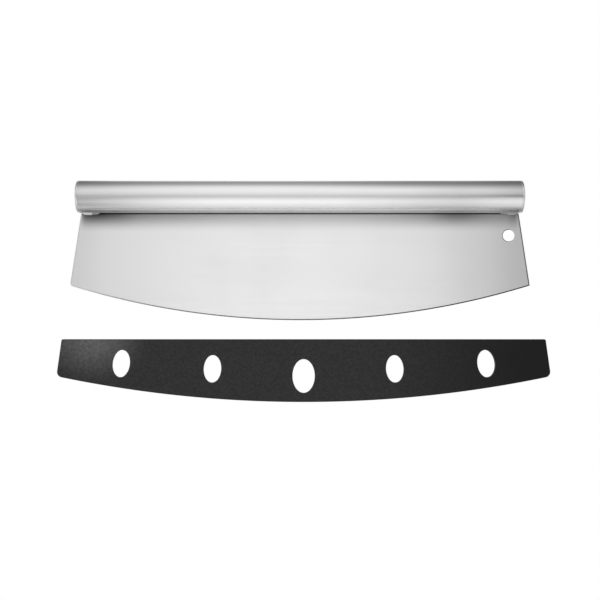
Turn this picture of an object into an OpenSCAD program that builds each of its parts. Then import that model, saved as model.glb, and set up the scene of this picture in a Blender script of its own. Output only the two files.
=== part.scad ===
// Rocking pizza knife with its blade sheath, in millimetres.
// The origin is the middle of the handle's axis. +X runs along the handle, +Z is up and the edge points down.
// The sheath is shown taken off, below the knife, as it lies before it is slid up over the edge.

/* [Blade] */
// Length of the blade across its two bottom corners
blade_len = 354.9; // [300:0.1:420]
// How much the blade widens on each side from the handle to its bottom corners
blade_flare = 8.6; // [4:0.1:14]
// Height of the blade in the middle, from the handle's underside to the edge
blade_depth = 82.7; // [75:0.1:100]
// Radius of the rocking edge
edge_radius = 603; // [450:1:900]
// Thickness of the blade's sheet
blade_t = 1.5; // [1:0.1:2.5]
// Width of the ground bevel along the edge
bevel_w = 1.2; // [0.6:0.1:3]
// Thickness left at the very edge
edge_t = 0.2; // [0.1:0.05:0.5]
// Rounding of the left bottom corner
corner_left = 2.3; // [0.5:0.1:6]
// Rounding of the right bottom corner
corner_right = 0.7; // [0.5:0.1:6]
// Diameter of the hanging hole
hang_d = 9; // [5:0.5:12]
// Distance of the hanging hole's centre from the blade's right side
hang_in = 10.4; // [9:0.1:20]
// Distance of the hanging hole's centre below the handle
hang_drop = 17.4; // [12:0.1:22]

/* [Handle] */
// Outside diameter of the handle's tube
handle_d = 25; // [20:0.5:32]
// Wall thickness of the tube
tube_wall = 1; // [0.8:0.1:1.6]
// How far the handle stands past the blade's top corner at each end
handle_over = 2.8; // [2.4:0.1:6]
// Thickness of an end cap outside the tube
cap_t = 2; // [1.6:0.1:2.2]
// Rounding of an end cap's outer rim
cap_round = 1.2; // [0.4:0.1:1.4]
// Sheet thickness of an end cap
cap_sheet = 0.9; // [0.6:0.1:1.2]
// How far an end cap's skirt goes into the tube
cap_skirt = 4; // [2:0.5:5]
// Gap between the skirt and the tube's bore
cap_fit = 0.05; // [0.02:0.01:0.2]
// Bevel that shows as a fine line where an end cap meets the tube
cap_seam = 0.25; // [0.1:0.05:0.4]

/* [Blade seat] */
// How far the blade's tab reaches into the tube
tab_depth = 7; // [4:0.5:9]
// Length of the shoulder beside the tab, at each end of the blade
shoulder = 8.1; // [7:0.1:14]
// Gap between the shoulder and the tube, filled by the weld
shoulder_gap = 0.3; // [0.1:0.05:0.8]
// Gap between the tab and the slit on each side
slit_fit = 0.05; // [0.02:0.01:0.2]
// Length of each weld along the joint
weld_len = 14; // [10:0.5:22]
// Radius of the weld bead
weld_r = 1.9; // [1.4:0.1:2.6]
// How far the weld ends short of the blade's top corner
weld_in = 0.7; // [0.5:0.1:3]
// Length of the weld's outer stretch that is ground flat
grind_len = 8; // [4:0.5:10]
// Distance of the ground faces from the middle of the bead
grind_r = 1.65; // [1.5:0.05:1.8]

/* [Sheath] */
// How much of the blade the sheath covers in the middle
cover = 45.1; // [42:0.1:50]
// Room between the blade's bottom corner and the sheath's end wall, on each side
end_play = 10.25; // [6:0.05:14]
// Gap between the blade's face and the sheath's wall, on each side
slot_fit = 0.25; // [0.15:0.05:0.5]
// Gap left between the edge and the sheath's floor
seat_fit = 0.3; // [0.1:0.05:0.6]
// Thickness of the sheath's walls
sheath_wall = 1.2; // [1:0.1:2]
// Width of the rim that closes the sheath's ends and floor
rim_w = 3; // [2:0.1:4]
// How much the sheath widens on each side from its mouth to its bottom corners
sheath_flare = 4.05; // [2:0.05:8]
// How much larger the radius of the sheath's bottom is than the edge's radius
floor_ease = 322; // [100:1:500]
// Rounding of the sheath's bottom corners
sheath_corner = 4.3; // [2:0.1:8]
// Rounding of the corners at the sheath's mouth
mouth_corner = 1.2; // [1:0.1:2]
// Rounding along the sheath's outer edges
edge_round = 0.9; // [0.3:0.1:0.9]
// Bevel that leads the blade into the mouth
lead_in = 0.5; // [0.2:0.1:0.7]
// How far below the knife's edge the sheath's mouth lies when it is off
rest_gap = 14.7; // [5:0.1:60]
// How far the sheath lies to the right of the knife's middle when it is off
rest_shift = 2.9; // [-5:0.1:5]

/* [Sheath windows] */
// Distance between neighbouring windows
window_pitch = 70.4; // [55:0.1:76]
// Number of small windows on each side of the middle one
side_windows = 2; // [1:1:2]
// Width of the middle window
middle_window_w = 17.2; // [10:0.1:24]
// Height of the middle window
middle_window_h = 26.2; // [16:0.1:28]
// Distance of the middle window's centre below the mouth
middle_window_drop = 28.4; // [26:0.1:30]
// Width of a small window
window_w = 13.7; // [8:0.1:20]
// Height of a small window
window_h = 21.3; // [14:0.1:22]
// Bevel around each window
window_bevel = 0.4; // [0.2:0.1:0.8]

/* [Hidden] */

steel = [0.80, 0.80, 0.81];
weld_steel = [0.66, 0.66, 0.68];
black_plastic = [0.16, 0.16, 0.165];

// How far a cutting solid runs past what it cuts
past = 1;
// How far the blade's outline runs past the edge that the ground disc cuts
outside = 4;

// Steps around curves
$fn = 96;
disc_fn = 256;
corner_steps = 8;
mouth_steps = 4;
floor_steps = 64;
round_steps = 3;
window_points = 48;

// Handle
tube_r = handle_d / 2;
bore_r = tube_r - tube_wall;
blade_top = blade_len - 2 * blade_flare;
handle_len = blade_top + 2 * handle_over;
tube_len = handle_len - 2 * cap_t;

// Blade
edge_height = sag(edge_radius, blade_len / 2);
blade_slant = atan(blade_flare / (blade_depth - edge_height));
edge_z = -tube_r - blade_depth;
tab_len = blade_top - 2 * shoulder;
hang_x = blade_top / 2 + hang_drop * tan(blade_slant) - hang_in;
hang_z = -tube_r - hang_drop;

// Welds: how far the bead's middle lies inside the tube's underside, and its ripples
weld_rise = 0.2;
weld_z = -tube_r + weld_rise;
weld_steps = 14;
weld_ripples = 4;
weld_ripple_h = 0.12;
grind_angle = 34;

// Sheath
sheath_len = blade_len + 2 * (end_play + rim_w);
mouth_len = sheath_len - 2 * sheath_flare;
sheath_depth = cover + seat_fit + rim_w;
floor_radius = edge_radius + floor_ease;
sheath_slant = atan(sheath_flare / (sheath_depth - sag(floor_radius, sheath_len / 2)));
slot_w = blade_t + 2 * slot_fit;
mouth_z = edge_z - rest_gap;
outer_round = min(edge_round, sheath_wall - 0.1, mouth_corner - 0.1);
side_angle = asin(window_pitch / floor_radius);

// Height of an arc of radius r over half its chord
function sag(r, half) = r - sqrt(r * r - half * half);

// Points along an arc from one angle to another
function arc_points(centre, r, from, to, steps) = [
    for (i = [0:steps])
        let (a = from + (to - from) * i / steps)
        centre + r * [cos(a), sin(a)]
];

// The same points on the other side of the middle, in the opposite order
function mirrored(points) = [
    for (i = [len(points) - 1:-1:0])
        [-points[i].x, points[i].y]
];

// Centre of a bottom corner's rounding of radius r, between a slanted side and the bottom arc
function corner_centre(half, slant, arc_r, depth, r) =
    let (
        reach = half * cos(slant) - r,
        rise = arc_r - depth,
        across = reach - rise * sin(slant),
        along = sqrt(pow(arc_r - r, 2) - across * across) - rise * cos(slant)
    )
    [reach * cos(slant) + along * sin(slant), reach * sin(slant) - along * cos(slant)];

// Angle at which that rounding runs into the bottom arc
function corner_turn(centre, arc_r, depth) = atan2(centre.y - (arc_r - depth), centre.x);

// The rounded bottom corner of the right side, down to the bottom arc
function corner_points(half, slant, arc_r, depth, r, steps) =
    let (centre = corner_centre(half, slant, arc_r, depth, r))
    arc_points(centre, r, slant, corner_turn(centre, arc_r, depth), steps);

// One side of the blade's outline, from the tab to a point outside the edge.
// The edge itself is cut by the ground disc.
function blade_side(r) =
    let (
        corner = corner_points(blade_top / 2, blade_slant, edge_radius, blade_depth, r, corner_steps),
        centre = [0, edge_radius - blade_depth],
        last = corner[len(corner) - 1],
        outward = (last - centre) / norm(last - centre)
    )
    concat(
        [
            [tab_len / 2, tab_depth],
            [tab_len / 2, -shoulder_gap],
            [blade_top / 2 + shoulder_gap * tan(blade_slant), -shoulder_gap]
        ],
        corner,
        [last + outside * outward]
    );

blade_outline = concat(
    blade_side(corner_right),
    [[0, -blade_depth - outside]],
    mirrored(blade_side(corner_left))
);

// The sheath's outline, moved in by inset. rise lifts the top edge, for the slot that is open there.
function sheath_outline(inset, rise) =
    let (
        half = mouth_len / 2 - inset / cos(sheath_slant),
        arc_r = floor_radius - inset,
        depth = sheath_depth - inset,
        corner_r = max(sheath_corner - inset, 1),
        mouth_r = max(mouth_corner - inset, 0.1),
        centre = corner_centre(half, sheath_slant, arc_r, depth, corner_r),
        turn = corner_turn(centre, arc_r, depth),
        mouth_y = rise - mouth_r,
        mouth_x = half - mouth_r / cos(sheath_slant) - mouth_y * tan(sheath_slant),
        right = concat(
            arc_points([mouth_x, mouth_y], mouth_r, 90, sheath_slant, mouth_steps),
            arc_points(centre, corner_r, sheath_slant, turn, corner_steps)
        ),
        bottom_arc = arc_points([0, arc_r - depth], arc_r, turn, -180 - turn, floor_steps),
        between = [for (i = [1:floor_steps - 1]) bottom_arc[i]]
    )
    concat(right, between, mirrored(right));

// A window's outline, widened by more on every side
function window_outline(w, h, more) = [
    for (i = [0:window_points - 1])
        let (a = -360 * i / window_points)
        [(w / 2 + more) * cos(a), (h / 2 + more) * sin(a)]
];

// A solid through a stack of outlines with the same number of points, each at its own height
module loft(outlines, heights) {
    n = len(outlines[0]);
    last = len(outlines) - 1;
    points = [
        for (k = [0:last])
            for (p = outlines[k])
                [p.x, p.y, heights[k]]
    ];
    bottom = [for (i = [1:n - 2]) [0, i + 1, i]];
    top = [for (i = [1:n - 2]) [last * n, last * n + i, last * n + i + 1]];
    sides = [
        for (k = [0:last - 1])
            for (i = [0:n - 1])
                let (j = (i + 1) % n)
                each [
                    [k * n + i, k * n + j, (k + 1) * n + j],
                    [k * n + i, (k + 1) * n + j, (k + 1) * n + i]
                ]
    ];
    polyhedron(points, concat(bottom, top, sides));
}

// Stands a flat profile upright, so that its thickness runs along Y, centred on the blade
module upright(t) {
    rotate([90, 0, 0])
        translate([0, 0, -t / 2])
            linear_extrude(t)
                children();
}

// The blade's plate with its tab and shoulders, t thick
module blade_plate(t) {
    translate([0, 0, -tube_r])
        upright(t)
            polygon(blade_outline);
}

// A disc of the rocking edge's radius, ground on both faces to the bevelled edge
module ground_disc() {
    translate([0, 0, edge_z + edge_radius])
        rotate([90, 0, 0])
            rotate_extrude($fn = disc_fn)
                polygon([
                    [0, -blade_t / 2],
                    [edge_radius - bevel_w, -blade_t / 2],
                    [edge_radius, -edge_t / 2],
                    [edge_radius, edge_t / 2],
                    [edge_radius - bevel_w, blade_t / 2],
                    [0, blade_t / 2]
                ]);
}

module blade() {
    color(steel)
        difference() {
            intersection() {
                blade_plate(blade_t + 2 * past);
                ground_disc();
            }
            translate([hang_x, 0, hang_z])
                rotate([90, 0, 0])
                    cylinder(h = blade_t + 2 * past, d = hang_d, center = true);
        }
}

module along_handle(h, r) {
    rotate([0, 90, 0])
        cylinder(h = h, r = r, center = true);
}

// The tube, with the slit in its underside that takes the blade's tab
module handle_tube() {
    slit_len = tab_len + 2 * slit_fit;
    slit_w = blade_t + 2 * slit_fit;
    color(steel)
        difference() {
            along_handle(tube_len, tube_r);
            along_handle(tube_len + 2 * past, bore_r);
            translate([-slit_len / 2, -slit_w / 2, -tube_r - past])
                cube([slit_len, slit_w, tube_wall + 2 * past]);
        }
}

// A pressed cup: a flat face with a rounded rim, and a skirt that goes into the tube
module end_cap(side) {
    skirt_r = bore_r - cap_fit;
    rim = arc_points([tube_r - cap_round, cap_t - cap_round], cap_round, 0, 90, 6);
    color(steel)
        translate([side * tube_len / 2, 0, 0])
            rotate([0, side * 90, 0])
                rotate_extrude()
                    polygon(concat(
                        [
                            [skirt_r - cap_sheet, -cap_skirt],
                            [skirt_r, -cap_skirt],
                            [skirt_r, 0],
                            [tube_r - cap_seam, 0],
                            [tube_r, cap_seam]
                        ],
                        rim,
                        [[0, cap_t], [0, cap_t - cap_sheet], [skirt_r - cap_sheet, cap_t - cap_sheet]]
                    ));
}

// Radius of the weld bead at a share s of its length: round at both ends, rippled towards the tab
function bead_r(s) =
    weld_r * pow(1 - pow(abs(2 * s - 1), 4), 0.5)
    - weld_ripple_h * (s < 0.5 ? 0.5 - 0.5 * cos(360 * s * 2 * weld_ripples) : 0);

// What is ground off the front and back of the bead's outer stretch
module ground_off(side) {
    outer_end = blade_top / 2 - weld_in;
    for (face = [-1, 1])
        translate([side * (outer_end - grind_len / 2 + past), 0, weld_z])
            rotate([-face * grind_angle, 0, 0])
                translate([0, face * (grind_r + weld_r), 0])
                    cube([grind_len + 2 * past, 2 * weld_r, 4 * weld_r], center = true);
}

// A bead that fills both sides of the joint and the gap over the shoulder
module weld(side) {
    bead = [
        for (i = [1:weld_steps - 1])
            let (s = i / weld_steps)
            [bead_r(s), weld_len * s]
    ];
    color(weld_steel)
        difference() {
            translate([side * (blade_top / 2 - weld_in - weld_len), 0, weld_z])
                rotate([0, side * 90, 0])
                    rotate_extrude()
                        polygon(concat([[0, 0]], bead, [[0, weld_len]]));
            along_handle(handle_len, tube_r);
            blade_plate(blade_t);
            ground_off(side);
        }
}

// Cuts one window through a wall that lies between heights 0 and sheath_wall, with its bevel outside
module window(w, h) {
    loft(
        [
            window_outline(w, h, 0),
            window_outline(w, h, 0),
            window_outline(w, h, window_bevel),
            window_outline(w, h, window_bevel)
        ],
        [-past, sheath_wall - window_bevel, sheath_wall, sheath_wall + past]
    );
}

// Depth of the sheath from its mouth to its bottom edge, at a distance x from its middle
function depth_at(x) = sheath_depth - sag(floor_radius, x);

module windows() {
    translate([0, -middle_window_drop, 0])
        window(middle_window_w, middle_window_h);
    for (side = [-1, 1], k = [1:side_windows])
        translate([side * k * window_pitch, -depth_at(k * window_pitch) / 2, 0])
            rotate([0, 0, side * k * side_angle])
                window(window_w, window_h);
}

// One wall of the sheath, lying flat with its outer face up and its mouth along the X axis
module flat_wall() {
    rounded = [for (k = [0:round_steps]) 90 * k / round_steps];
    difference() {
        loft(
            concat(
                [sheath_outline(0, 0)],
                [for (a = rounded) sheath_outline(outer_round * (1 - cos(a)), -outer_round * (1 - cos(a)))]
            ),
            concat([0], [for (a = rounded) sheath_wall - outer_round + outer_round * sin(a)])
        );
        windows();
        rotate([45, 0, 0])
            cube([mouth_len + 2 * past, lead_in * sqrt(2), lead_in * sqrt(2)], center = true);
    }
}

module place_sheath() {
    translate([rest_shift, 0, mouth_z])
        children();
}

module sheath_front_wall() {
    color(black_plastic)
        place_sheath()
            translate([0, -slot_w / 2, 0])
                rotate([90, 0, 0])
                    flat_wall();
}

module sheath_back_wall() {
    color(black_plastic)
        place_sheath()
            translate([0, slot_w / 2, 0])
                mirror([0, 1, 0])
                    rotate([90, 0, 0])
                        flat_wall();
}

// The rim between the walls, which closes the slot at both ends and along the floor
module sheath_rim() {
    color(black_plastic)
        place_sheath()
            upright(slot_w)
                difference() {
                    polygon(sheath_outline(0, 0));
                    polygon(sheath_outline(rim_w, 2 * past));
                }
}

blade();
handle_tube();
end_cap(-1);  // left_end_cap
end_cap(1);  // right_end_cap
weld(-1);  // left_weld
weld(1);  // right_weld
sheath_front_wall();
sheath_back_wall();
sheath_rim();
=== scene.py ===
import logging
import math
from dataclasses import dataclass, field
from enum import Enum
from typing import Callable, Iterable

import bmesh
import bpy
from bmesh.types import BMEdge, BMesh, BMFace, BMVert
from bpy.types import Material, Mesh, Node, NodeSocket, NodeTree, Object
from mathutils import Matrix, Vector


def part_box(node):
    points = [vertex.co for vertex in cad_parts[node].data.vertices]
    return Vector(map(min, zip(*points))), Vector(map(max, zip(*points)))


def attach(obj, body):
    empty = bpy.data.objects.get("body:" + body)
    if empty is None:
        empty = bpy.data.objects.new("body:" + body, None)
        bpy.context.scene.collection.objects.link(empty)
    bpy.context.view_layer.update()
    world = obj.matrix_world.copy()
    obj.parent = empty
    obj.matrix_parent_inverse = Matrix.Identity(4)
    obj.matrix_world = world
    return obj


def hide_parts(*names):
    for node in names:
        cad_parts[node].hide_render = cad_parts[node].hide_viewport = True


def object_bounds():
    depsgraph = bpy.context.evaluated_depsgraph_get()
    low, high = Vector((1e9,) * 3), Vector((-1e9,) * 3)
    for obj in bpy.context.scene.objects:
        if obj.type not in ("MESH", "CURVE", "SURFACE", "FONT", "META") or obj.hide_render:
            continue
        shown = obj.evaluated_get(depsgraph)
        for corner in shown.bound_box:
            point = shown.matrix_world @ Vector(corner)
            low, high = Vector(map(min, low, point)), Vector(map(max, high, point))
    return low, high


# Looks of the rocking pizza knife and its sheath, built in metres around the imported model.
# The origin is the middle of the handle's axis, +X runs along the handle and the edge points down.

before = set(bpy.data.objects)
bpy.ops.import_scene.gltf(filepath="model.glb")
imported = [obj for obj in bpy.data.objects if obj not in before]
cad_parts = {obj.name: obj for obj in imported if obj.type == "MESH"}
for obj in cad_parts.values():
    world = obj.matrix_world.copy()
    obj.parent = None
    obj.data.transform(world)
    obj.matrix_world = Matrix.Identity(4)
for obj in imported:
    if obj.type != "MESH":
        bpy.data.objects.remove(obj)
CAD_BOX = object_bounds()

MM = 0.001
# Points closer than this are one point.
MERGE = 0.001 * MM
# How far a cutter reaches past a surface, and how many times deeper it is than what it takes away.
PAST = 1 * MM
DEEPER = 4
# Steps of the rounding at a hole's rim, and how far it starts outside the wall's surface.
RIM_STEPS = 4
RIM_PROUD = 0.004 * MM
# The weight that lets the largest faces alone decide how a corner is shaded.
FACE_WEIGHT = 100
LOG = logging.getLogger("pizza_knife")

# How far a face's normal points along Y: in the blade's plane, rounded off beside it, or cut square to it.
FLAT, ROUNDED, EDGE_ON, SQUARE = 0.99, 0.96, 0.3, 0.1

# The parts of noise's range that carry a change, and the vector operations that give a number.
NOISE, SMUDGE_NOISE, MOTTLE_NOISE = (0.3, 0.7), (0.45, 0.75), (0.35, 0.65)
TO_NUMBER = ("LENGTH", "DISTANCE")

Points = list[tuple[float, float]]
Stops = tuple[tuple[float, float], ...]


class Side(Enum):
    """The knife's two ends."""

    LEFT = -1
    RIGHT = 1

    @property
    def word(self) -> str:
        """The side's name in lower case."""
        return self.name.lower()


class Cut(Enum):
    """How a cutter meets the piece that it cuts."""

    REMOVE = "DIFFERENCE"
    KEEP_COMMON = "INTERSECT"


class GrainRun(Enum):
    """The axis around which a finish's tangent turns, and its turn from there across the scratches."""

    FLAT_ALONG_X = ("Z", 0.25)
    TUBE_ALONG_X = ("X", 0.0)
    TURNED_ABOUT_X = ("X", 0.25)


@dataclass(frozen=True)
class Span:
    """The box that some CAD nodes fill at rest."""

    low: Vector
    high: Vector

    @classmethod
    def of(cls, *nodes: str) -> "Span":
        """Measures CAD nodes.

        Args:
            nodes: names of the nodes.

        Returns:
            The box around all of them.
        """
        boxes = [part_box(node) for node in nodes]
        low = Vector(min(box[0][i] for box in boxes) for i in range(3))
        high = Vector(max(box[1][i] for box in boxes) for i in range(3))
        return cls(low, high)

    @property
    def centre(self) -> Vector:
        """The middle of the box."""
        return (self.low + self.high) / 2

    @property
    def size(self) -> Vector:
        """The box's three sides."""
        return self.high - self.low


def sag(radius: float, half: float) -> float:
    """Height of an arc over half of its chord."""
    return radius - math.sqrt(radius * radius - half * half)


def rounding_reach(radius: float, inside_angle: float) -> float:
    """How far a corner's rounding reaches along its sides, from the angle inside it in radians."""
    return radius / math.tan(inside_angle / 2)


def upright_face(points: Points, y: float = 0.0) -> BMesh:
    """A flat face that stands in the XZ plane.

    Args:
        points: its corners, as X and Z.
        y: where it stands.

    Returns:
        A mesh of that one face.
    """
    bm = bmesh.new()
    bm.faces.new([bm.verts.new((x, y, z)) for x, z in points])
    return bm


def bevel(bm: BMesh, geom: list, reach: float, segments: int, affect: str = "EDGES") -> None:
    """Rounds edges or corners.

    Args:
        bm: the mesh.
        geom: the edges or the corners.
        reach: how far the rounding runs from each.
        segments: its steps.
        affect: whether edges or vertices are rounded.
    """
    bmesh.ops.bevel(
        bm, geom=geom, offset=reach, offset_type="OFFSET", affect=affect, segments=segments, profile=0.5,
        material=-1, clamp_overlap=True,
    )


def round_corner(bm: BMesh, x: float, z: float, reach: float, segments: int) -> None:
    """Rounds the corner of an upright face that lies nearest to a point."""
    corner = min(bm.verts, key=lambda v: (v.co.x - x) ** 2 + (v.co.z - z) ** 2)
    bevel(bm, [corner], reach, segments, "VERTICES")


def square_edges(bm: BMesh) -> list[BMEdge]:
    """The edges between a wall's flat faces and those square to them."""
    tilts = {edge: sorted(abs(face.normal.y) for face in edge.link_faces) for edge in bm.edges}
    return [edge for edge, tilt in tilts.items() if len(tilt) == 2 and tilt[0] < SQUARE and tilt[1] > FLAT]


def move(bm: BMesh, x: float, y: float, z: float) -> None:
    """Moves a whole mesh."""
    bmesh.ops.translate(bm, vec=(x, y, z), verts=bm.verts[:])


def mirror(bm: BMesh) -> None:
    """Mirrors a whole mesh, from the right end of the knife to the left."""
    bmesh.ops.scale(bm, vec=(-1, 1, 1), verts=bm.verts[:])


def merge(bm: BMesh) -> None:
    """Merges the points that lie on one another."""
    bmesh.ops.remove_doubles(bm, verts=bm.verts[:], dist=MERGE)


def turn_out(bm: BMesh) -> None:
    """Turns all faces outwards."""
    bmesh.ops.recalc_face_normals(bm, faces=bm.faces[:])


def close_up(bm: BMesh) -> None:
    """Fills the open ends and turns all faces outwards."""
    bmesh.ops.holes_fill(bm, edges=[edge for edge in bm.edges if edge.is_boundary])
    turn_out(bm)


def thicken(bm: BMesh, thickness: float) -> None:
    """Gives an upright face its thickness, centred on where it stands.

    Args:
        bm: a mesh of one upright face.
        thickness: its thickness along Y.
    """
    move(bm, 0, -thickness / 2, 0)
    grown = bmesh.ops.extrude_face_region(bm, geom=bm.faces[:])["geom"]
    moved = [g for g in grown if isinstance(g, BMVert)]
    bmesh.ops.translate(bm, vec=(0, thickness, 0), verts=moved)
    turn_out(bm)


def block(size: tuple[float, float, float], place: Matrix) -> BMesh:
    """A box that cuts.

    Args:
        size: its three sides.
        place: where it goes.

    Returns:
        The box's mesh.
    """
    bm = bmesh.new()
    bmesh.ops.create_cube(bm, size=1.0, matrix=place @ Matrix.Diagonal((*size, 1.0)))
    return bm


def lathe(profile: Points, roundings: dict[int, tuple[float, int]], steps: int) -> BMesh:
    """Turns a closed profile about the X axis.

    Args:
        profile: its corners, as X and radius.
        roundings: for a corner's number, the reach of its rounding and its steps.
        steps: steps round the axis.

    Returns:
        The turned mesh, closed and facing outwards.
    """
    bm = upright_face(profile)
    bm.verts.ensure_lookup_table()
    corners = {i: (bm.verts[i].co.x, bm.verts[i].co.z) for i in roundings}
    for i, (reach, segments) in roundings.items():
        round_corner(bm, *corners[i], reach, segments)
    bmesh.ops.delete(bm, geom=bm.faces[:], context="FACES_ONLY")
    on_axis = [e for e in bm.edges if all(abs(v.co.z) < MERGE for v in e.verts)]
    bmesh.ops.delete(bm, geom=on_axis, context="EDGES")
    bmesh.ops.spin(
        bm, geom=bm.verts[:] + bm.edges[:], cent=(0, 0, 0), axis=(1, 0, 0),
        angle=math.tau, steps=steps, use_merge=True,
    )
    merge(bm)
    turn_out(bm)
    return bm


def shown(bm: BMesh, name: str) -> Object:
    """Puts a mesh in the scene.

    Args:
        bm: the mesh, which is freed.
        name: the object's name.

    Returns:
        The object.
    """
    mesh = bpy.data.meshes.new(name)
    bm.to_mesh(mesh)
    bm.free()
    piece = bpy.data.objects.new(name, mesh)
    bpy.context.scene.collection.objects.link(piece)
    return piece


def discard(piece: Object) -> None:
    """Removes an object and its mesh.

    Args:
        piece: the object.
    """
    mesh = piece.data
    bpy.data.objects.remove(piece)
    bpy.data.meshes.remove(mesh)


def evaluated_mesh(piece: Object) -> Mesh:
    """Applies a piece's modifiers.

    Args:
        piece: the piece, which keeps its own mesh.

    Returns:
        A new mesh with the modifiers applied.
    """
    bpy.context.view_layer.update()
    graph = bpy.context.evaluated_depsgraph_get()
    return bpy.data.meshes.new_from_object(piece.evaluated_get(graph))


def cut(bm: BMesh, cutter: BMesh, how: Cut = Cut.REMOVE) -> BMesh:
    """Cuts one closed mesh with another.

    Args:
        bm: the mesh that is cut, which is freed.
        cutter: the mesh that cuts it, which is freed.
        how: whether the cutter's space is taken away or kept.

    Returns:
        The mesh that is left.
    """
    for operand in (bm, cutter):
        merge(operand)
    target, tool = shown(bm, "cut_target"), shown(cutter, "cut_tool")
    boolean = target.modifiers.new("cut", "BOOLEAN")
    boolean.operation = how.value
    boolean.object = tool
    boolean.solver = "EXACT"
    mesh = evaluated_mesh(target)
    left = bmesh.new()
    left.from_mesh(mesh)
    bpy.data.meshes.remove(mesh)
    discard(target)
    discard(tool)
    merge(left)
    bmesh.ops.dissolve_degenerate(left, dist=MERGE, edges=left.edges[:])
    return left


def joined(parts: Iterable[BMesh]) -> BMesh:
    """Puts meshes that don't touch together in one.

    Args:
        parts: the meshes, which are freed.

    Returns:
        The one mesh.
    """
    whole = bmesh.new()
    for part in parts:
        mesh = bpy.data.meshes.new("part")
        part.to_mesh(mesh)
        part.free()
        whole.from_mesh(mesh)
        bpy.data.meshes.remove(mesh)
    return whole


def join_flat_faces(bm: BMesh, angle: float = math.radians(0.05)) -> None:
    """Joins neighbouring faces that lie in one plane, to within an angle in radians."""
    bmesh.ops.dissolve_limit(bm, angle_limit=angle, verts=[], edges=bm.edges[:])


def finished(bm: BMesh, name: str, materials: list[Material], sharp: float = math.radians(35)) -> Object:
    """Turns a mesh into a shaded piece whose flat faces stay flat.

    Args:
        bm: the mesh, which is freed.
        name: the piece's name.
        materials: its materials, in the order of its faces' numbers.
        sharp: angle from which an edge is sharp, in radians.

    Returns:
        The piece, with its modifiers applied.
    """
    merge(bm)
    turn_out(bm)
    for face in bm.faces:
        face.smooth = True
    for edge in bm.edges:
        edge.smooth = edge.calc_face_angle(math.pi) < sharp
    open_edges = sum(1 for edge in bm.edges if len(edge.link_faces) != 2)
    if open_edges:
        LOG.warning("%s has %d open edges", name, open_edges)
    piece = shown(bm, name)
    for material in materials:
        piece.data.materials.append(material)
    weighted = piece.modifiers.new("flat faces", "WEIGHTED_NORMAL")
    weighted.mode = "FACE_AREA"
    weighted.weight = FACE_WEIGHT
    weighted.keep_sharp = True
    rough_mesh = piece.data
    piece.data = evaluated_mesh(piece)
    piece.modifiers.clear()
    bpy.data.meshes.remove(rough_mesh)
    piece.data.name = name
    return piece


class Tree:
    """Adds and joins the nodes of one node tree, whose effects work on the point in its place."""

    def __init__(self, tree: NodeTree) -> None:
        """Takes the tree, emptied.

        Args:
            tree: the tree.
        """
        self.tree = tree
        self.tree.nodes.clear()
        self.place: NodeSocket | None = None

    def add(self, kind: str, inputs: dict[str | int, object] | None = None, **settings: object) -> Node:
        """Adds a node.

        Args:
            kind: the node's type.
            inputs: for a socket's name or number, its value or the socket that feeds it.
            settings: the node's own properties.

        Returns:
            The node.
        """
        node = self.tree.nodes.new(kind)
        for name, value in settings.items():
            setattr(node, name, value)
        self.feed(node, inputs or {})
        return node

    def feed(self, node: Node, inputs: dict[str | int, object]) -> None:
        """Gives a node its inputs.

        Args:
            node: the node.
            inputs: for a socket's name or number, its value or the socket that feeds it.
        """
        for key, value in inputs.items():
            if isinstance(value, NodeSocket):
                self.tree.links.new(value, node.inputs[key])
            else:
                node.inputs[key].default_value = value

    def axes(self, vector: object) -> tuple[NodeSocket, ...]:
        """A vector's three parts."""
        return tuple(self.add("ShaderNodeSeparateXYZ", {0: vector}).outputs)

    def noise(self, place: object, scale: object, detail: float, roughness: float = 0.5) -> NodeSocket:
        """Noise at a point."""
        values = {"Vector": place, "Scale": scale, "Detail": detail, "Roughness": roughness}
        return self.add("ShaderNodeTexNoise", values).outputs[0]

    def vector(self, operation: str, *values: object) -> NodeSocket:
        """One sum of vectors, whose result is a number where it is a length."""
        node = self.add("ShaderNodeVectorMath", dict(enumerate(values)), operation=operation)
        return node.outputs["Value" if operation in TO_NUMBER else "Vector"]

    def maths(self, operation: str, *values: object) -> NodeSocket:
        """One sum of numbers or sockets."""
        return self.add("ShaderNodeMath", dict(enumerate(values)), operation=operation).outputs[0]

    def ranged(self, value: object, low: float, high: float, to_low: float, to_high: float) -> NodeSocket:
        """A value carried smoothly from one range to another, and held at its ends."""
        inputs = {0: value, 1: low, 2: high, 3: to_low, 4: to_high}
        return self.add("ShaderNodeMapRange", inputs, interpolation_type="SMOOTHSTEP").outputs[0]

    def ramp(self, value: object, stops: Iterable[tuple[float, float]]) -> NodeSocket:
        """A grey that follows stops.

        Args:
            value: where along the stops, from 0 to 1.
            stops: pairs of a place and a grey.

        Returns:
            The socket with the grey.
        """
        node = self.add("ShaderNodeValToRGB", {0: value})
        ramp = node.color_ramp
        ramp.interpolation = "CARDINAL"
        stops = list(stops)
        while len(ramp.elements) < len(stops):
            ramp.elements.new(1.0)
        for element, (place, _) in zip(ramp.elements, stops):
            element.position = place
        for element, (_, grey) in zip(ramp.elements, stops):
            element.color = (grey, grey, grey, 1.0)
        return node.outputs[0]

    def blend(self, share: object, first: object, second: object) -> NodeSocket:
        """A colour between two others.

        Args:
            share: how much of the second one.
            first: the first colour or socket.
            second: the second colour or socket.

        Returns:
            The socket with the colour.
        """
        node = self.add("ShaderNodeMix", data_type="RGBA")
        colours = [number for number, s in enumerate(node.inputs) if s.type == "RGBA"]
        self.feed(node, dict(zip((0, *colours), (share, first, second))))
        return next(s for s in node.outputs if s.type == "RGBA")


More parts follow.
